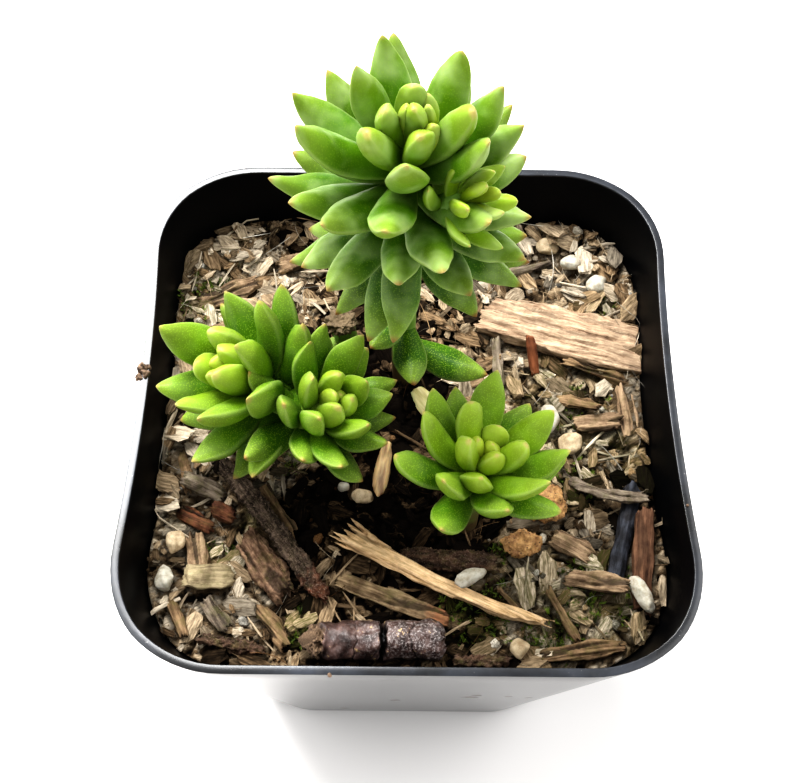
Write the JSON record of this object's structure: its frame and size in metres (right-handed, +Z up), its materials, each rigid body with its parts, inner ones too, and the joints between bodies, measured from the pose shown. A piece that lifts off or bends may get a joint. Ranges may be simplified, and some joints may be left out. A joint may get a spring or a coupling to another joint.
{
  "type": "potted sedum",
  "caption": "Square tapered nursery pot filled with bark and grit potting mix, with a tall leafy succulent stem and lower leaf rosettes.",
  "frame": {"origin": "Middle of the pot's flat base", "axes": "+Z is up, +X is to the viewer's right and +Y is to the back, away from the picture's camera"},
  "size_m": [0.0682, 0.07, 0.1201],
  "materials": {
    "black_plastic": "satin",
    "potting_soil": "matte",
    "sedum_green": "satin",
    "old_leaf_yellow": "satin",
    "old_leaf_tan": "matte",
    "weathered_wood": "matte",
    "golden_wood": "matte",
    "tan_wood": "matte",
    "red_bark": "matte",
    "brown_bark": "matte",
    "grey_twig": "matte",
    "olive_wood": "matte",
    "glossy_bark": "satin",
    "slate_stick": "satin",
    "white_grit": "matte",
    "cream_grit": "matte",
    "orange_grit": "matte"
  },
  "bodies": {
    "root": {"pot": "black_plastic", "soil": "potting_soil", "tall_shoot": "sedum_green", "forked_shoot": "sedum_green", "small_shoot": "sedum_green", "bark_shard_left": "red_bark", "red_chip_left": "red_bark", "tan_strip_left": "tan_wood", "grey_chip_left": "grey_twig", "tan_chip_corner": "tan_wood", "seed_husk": "olive_wood", "corner_splinter": "tan_wood", "grey_plate_left": "grey_twig", "front_strip_left": "brown_bark", "olive_chip_front": "olive_wood", "bark_chunk": "red_bark", "second_twig": "grey_twig", "long_twig": "grey_twig", "olive_strip": "olive_wood", "dark_bark": "brown_bark", "bark_roll": "glossy_bark", "thin_chip_front": "tan_wood", "golden_splinter": "golden_wood", "front_strip_right": "tan_wood", "rusty_chip_front": "brown_bark", "slate_stick": "slate_stick", "wall_strip": "brown_bark", "flat_chip_right": "tan_wood", "short_stick_right": "tan_wood", "pale_chip_right": "tan_wood", "curved_strip": "grey_twig", "tan_strip_right": "tan_wood", "shell_chip": "weathered_wood", "middle_chip_right": "weathered_wood", "back_stick": "grey_twig", "wood_slab": "weathered_wood", "slab_sliver": "tan_wood", "red_peg": "red_bark", "back_twig": "grey_twig", "back_slab": "weathered_wood", "back_chip_left": "tan_wood", "back_chip_middle": "weathered_wood", "cream_stone_left": "cream_grit", "white_stone_left": "white_grit", "white_stone_front": "white_grit", "long_white_stone": "white_grit", "round_cream_stone": "cream_grit", "small_white_stone": "white_grit", "double_tan_stone": "cream_grit", "orange_lump_back": "orange_grit", "orange_lump_front": "orange_grit", "white_stone_right": "white_grit", "cream_stone_right": "cream_grit", "back_cream_stone": "cream_grit", "back_white_stone": "white_grit", "back_pale_stone": "white_grit", "yellow_old_leaf": "old_leaf_yellow", "tan_old_leaf": "old_leaf_tan"}
  },
  "joints": []
}
